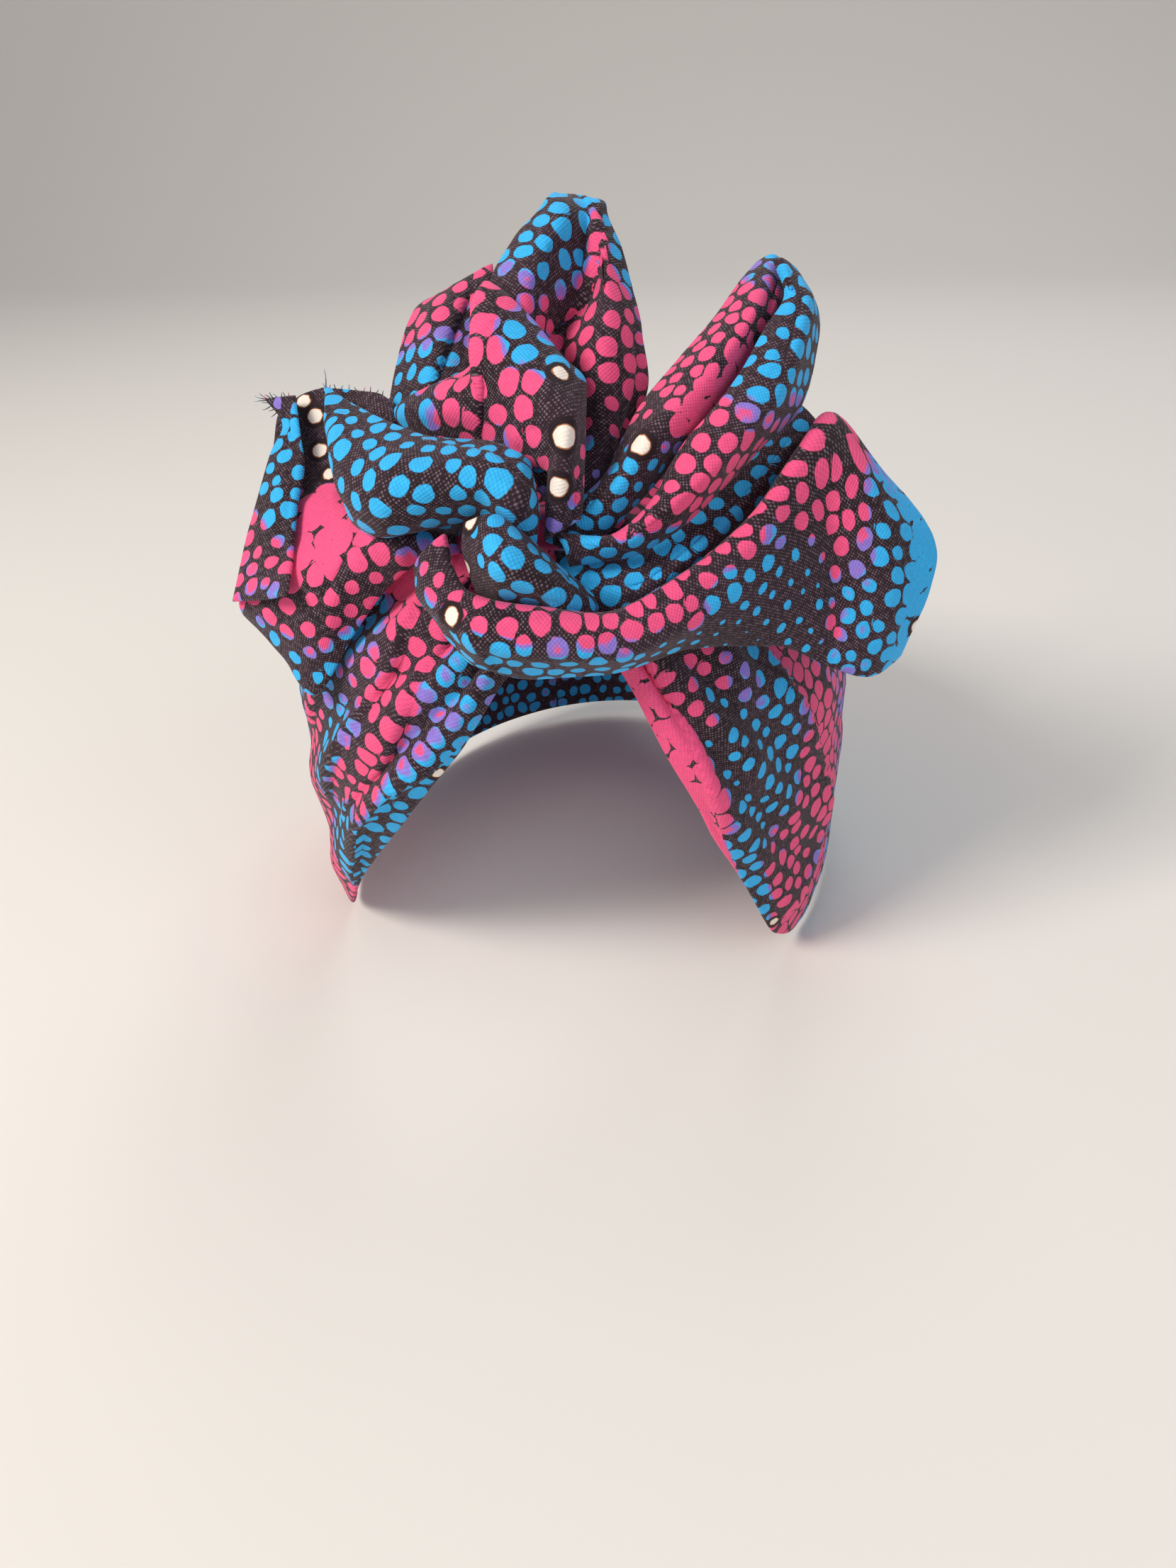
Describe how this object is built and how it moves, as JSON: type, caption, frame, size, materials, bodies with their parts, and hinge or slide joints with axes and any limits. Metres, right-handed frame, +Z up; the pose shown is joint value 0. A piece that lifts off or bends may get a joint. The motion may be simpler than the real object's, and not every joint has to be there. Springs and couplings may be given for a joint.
{
  "type": "wax print headband",
  "caption": "Head wrap of dotted wax print cotton: a pleated band open over the crown, knotted in front into a bow of folded petals and loops.",
  "frame": {"origin": "centre of the head hollow, at the level where a head is widest", "axes": "+Z up along the wearer's head, -Y the way the wearer faces, +X to the right of someone who faces the wearer"},
  "size_m": [0.1814, 0.208, 0.2014],
  "materials": {
    "head_band": "matt plain weave cotton, waxed dot print, pink and blue on brown black",
    "front_sash": "matt plain weave cotton, waxed dot print, pink above and blue below",
    "knot_roll": "matt plain weave cotton, waxed dot print, blue on brown black",
    "upper_left_fold": "matt plain weave cotton, waxed dot print, blue on brown black",
    "left_loop": "matt plain weave cotton, waxed dot print, pink with some blue",
    "left_cuff": "matt plain weave cotton, waxed dot print, blue to pink",
    "crook_fold": "matt plain weave cotton, waxed dot print, large pink dots",
    "back_petal": "matt plain weave cotton, waxed dot print, pink and purple",
    "top_petal": "matt plain weave cotton, waxed dot print, blue with pink at the right",
    "right_petal_front": "matt plain weave cotton, waxed dot print, pink",
    "right_petal_rear": "matt plain weave cotton, waxed dot print, blue to purple and pink",
    "inner_fold": "matt plain weave cotton, waxed dot print, blue on brown black"
  },
  "bodies": {
    "root": {"head_band": "head_band", "front_sash": "front_sash", "knot_roll": "knot_roll", "upper_left_fold": "upper_left_fold", "left_loop": "left_loop", "left_cuff": "left_cuff", "crook_fold": "crook_fold", "back_petal": "back_petal", "top_petal": "top_petal", "right_petal_front": "right_petal_front", "right_petal_rear": "right_petal_rear", "inner_fold": "inner_fold"}
  },
  "joints": []
}
